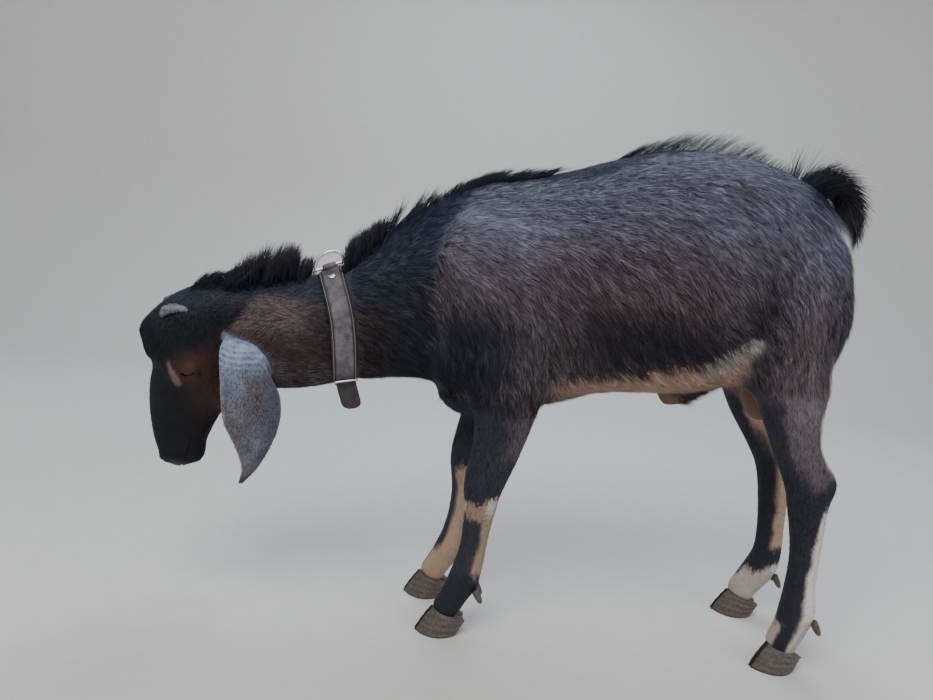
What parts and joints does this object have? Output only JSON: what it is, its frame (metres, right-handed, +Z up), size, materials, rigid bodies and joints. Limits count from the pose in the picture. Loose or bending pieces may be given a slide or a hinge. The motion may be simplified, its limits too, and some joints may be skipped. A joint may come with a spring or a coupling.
{
  "type": "nubian goat",
  "caption": "Life-size still model of a young Nubian goat standing with lowered head, with long hanging ears, bristly crest and a leather collar.",
  "frame": {"origin": "on the floor, below the middle of the goat's bounding box", "axes": "-X the way the goat looks, -Y its left side, +Z up"},
  "size_m": [0.9096, 0.236, 0.678],
  "materials": {
    "coat": "dark brown-black hair with fine frosty tips",
    "ear": "short roan hair",
    "skin": "thinly haired brown skin",
    "eye": "wet gloss",
    "horn_bud": "rough pale horn",
    "hoof": "dull dark horn",
    "dark_leather": "dark, stitched along the edges",
    "worn_leather": "greyed and worn",
    "steel": "bright plated wire"
  },
  "bodies": {
    "root": {"head": "coat", "neck": "coat", "torso": "coat", "tail": "coat", "leg_fore_left_upper": "coat", "leg_fore_left_lower": "coat", "hoof_fore_left_outer": "hoof", "hoof_fore_left_inner": "hoof", "dewclaw_fore_left_left": "hoof", "dewclaw_fore_left_right": "hoof", "leg_fore_right_upper": "coat", "leg_fore_right_lower": "coat", "hoof_fore_right_outer": "hoof", "hoof_fore_right_inner": "hoof", "dewclaw_fore_right_left": "hoof", "dewclaw_fore_right_right": "hoof", "leg_hind_left_upper": "coat", "leg_hind_left_lower": "coat", "hoof_hind_left_outer": "hoof", "hoof_hind_left_inner": "hoof", "dewclaw_hind_left_left": "hoof", "dewclaw_hind_left_right": "hoof", "leg_hind_right_upper": "coat", "leg_hind_right_lower": "coat", "hoof_hind_right_outer": "hoof", "hoof_hind_right_inner": "hoof", "dewclaw_hind_right_left": "hoof", "dewclaw_hind_right_right": "hoof", "ear_left": "ear", "ear_right": "ear", "eye_left": "eye", "eye_right": "eye", "horn_left": "horn_bud", "horn_right": "horn_bud", "scrotum": "skin", "collar_band": "dark_leather", "collar_strap": "worn_leather", "collar_end": "dark_leather", "collar_ring": "steel", "collar_rivet": "steel", "collar_buckle": "steel"}
  },
  "joints": []
}
